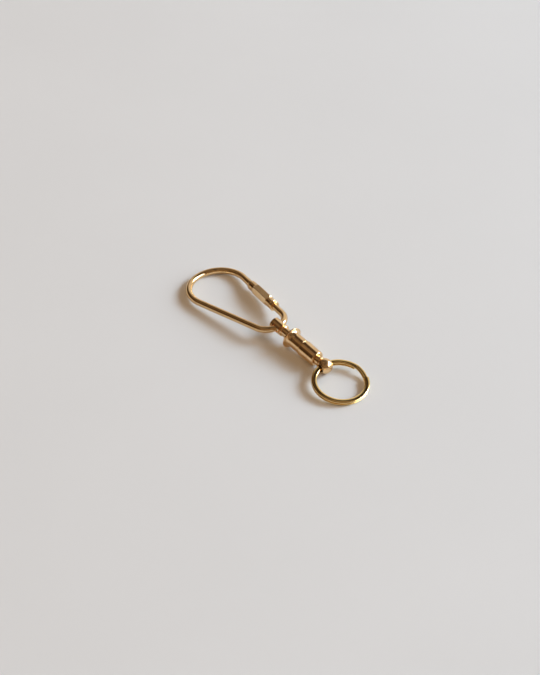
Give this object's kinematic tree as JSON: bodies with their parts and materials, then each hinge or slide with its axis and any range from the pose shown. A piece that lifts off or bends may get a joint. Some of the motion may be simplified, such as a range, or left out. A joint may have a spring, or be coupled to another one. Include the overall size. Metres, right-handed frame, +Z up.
{
  "type": "belt key clip",
  "caption": "Belt key clip: pear-shaped wire loop with a screwed lock sleeve, swinging from a stud in a quick-release barrel, and a split ring on a swivel eye.",
  "frame": {"origin": "middle of the resting clip's box, on the surface it lies on", "axes": "+X from the loop to the split ring, +Y to the side of the lock sleeve, +Z up from the surface"},
  "size_m": [0.114, 0.0314, 0.0103],
  "materials": {
    "wire_brass": "drawn wire, tumbled, softly polished",
    "fitting_brass": "turned and polished",
    "sleeve_brass": "turned, with six milled flats, lightly worn",
    "barrel_brass": "turned, fine lathe marks, softly polished",
    "inner_brass": "as turned",
    "ring_brass": "rolled, tumbled, warm",
    "steel": "hardened, ground",
    "nylon": "natural"
  },
  "bodies": {
    "socket": {"socket_tube": "inner_brass", "rear_barrel": "barrel_brass", "release_spring": "steel", "retaining_ring": "steel"},
    "stud": {"stud": "barrel_brass"},
    "loop": {"loop_wire": "wire_brass", "stop_collar": "fitting_brass"},
    "screw_carrier": {"packing_ring": "nylon"},
    "lock_sleeve": {"lock_sleeve": "sleeve_brass"},
    "release_collar": {"release_collar": "barrel_brass"},
    "lock_ball_1": {"lock_ball_1": "steel"},
    "lock_ball_2": {"lock_ball_2": "steel"},
    "lock_ball_3": {"lock_ball_3": "steel"},
    "lock_ball_4": {"lock_ball_4": "steel"},
    "swivel": {"swivel_eye": "barrel_brass", "swivel_nut": "inner_brass", "thrust_washer": "steel"},
    "key_ring": {"key_ring": "ring_brass"}
  },
  "joints": [
    {"name": "stud_spin", "type": "hinge", "parent": "socket", "child": "stud", "pos_m": [0.01276, 0.00133, 0.00498], "axis": [0.9976, 0, -0.0687], "continuous": true},
    {"name": "loop_swing", "type": "hinge", "parent": "stud", "child": "loop", "pos_m": [0.00079, 0.00133, 0.0058], "axis": [0, 1, 0], "range_deg": [-120, 120]},
    {"name": "sleeve_slide", "type": "slide", "parent": "loop", "child": "screw_carrier", "axis": [-0.9862, 0.1482, -0.0737], "range_m": [0, 0.0056]},
    {"name": "sleeve_spin", "type": "hinge", "parent": "screw_carrier", "child": "lock_sleeve", "pos_m": [-0.02344, 0.01157, 0.00399], "axis": [-0.9862, 0.1482, -0.0737], "range_deg": [0, 2520]},
    {"name": "release_slide", "type": "slide", "parent": "socket", "child": "release_collar", "axis": [-0.9976, 0, 0.0687], "range_m": [0, 0.0015], "stiffness_N_per_m": 400, "springref_m": -0.0015, "deforming": ["release_spring"]},
    {"name": "ball_1_slide", "type": "slide", "parent": "socket", "child": "lock_ball_1", "axis": [0.0486, -0.7071, 0.7054], "range_m": [0, 0.00033]},
    {"name": "ball_2_slide", "type": "slide", "parent": "socket", "child": "lock_ball_2", "axis": [-0.0486, -0.7071, -0.7054], "range_m": [0, 0.00033]},
    {"name": "ball_3_slide", "type": "slide", "parent": "socket", "child": "lock_ball_3", "axis": [-0.0486, 0.7071, -0.7054], "range_m": [0, 0.00033]},
    {"name": "ball_4_slide", "type": "slide", "parent": "socket", "child": "lock_ball_4", "axis": [0.0486, 0.7071, 0.7054], "range_m": [0, 0.00033]},
    {"name": "swivel_spin", "type": "hinge", "parent": "socket", "child": "swivel", "pos_m": [0.02473, 0.00133, 0.00415], "axis": [0.9976, 0, -0.0687], "continuous": true},
    {"name": "ring_swing", "type": "hinge", "parent": "swivel", "child": "key_ring", "pos_m": [0.03274, 0.00133, 0.0036], "axis": [0, 1, 0], "range_deg": [-135, 135]}
  ],
  "couplings": [
    {"joint": "sleeve_spin", "follows": "sleeve_slide", "rad_per_m": 7853.9},
    {"joint": "ball_1_slide", "follows": "release_slide", "ratio": 0.22},
    {"joint": "ball_2_slide", "follows": "release_slide", "ratio": 0.22},
    {"joint": "ball_3_slide", "follows": "release_slide", "ratio": 0.22},
    {"joint": "ball_4_slide", "follows": "release_slide", "ratio": 0.22}
  ]
}
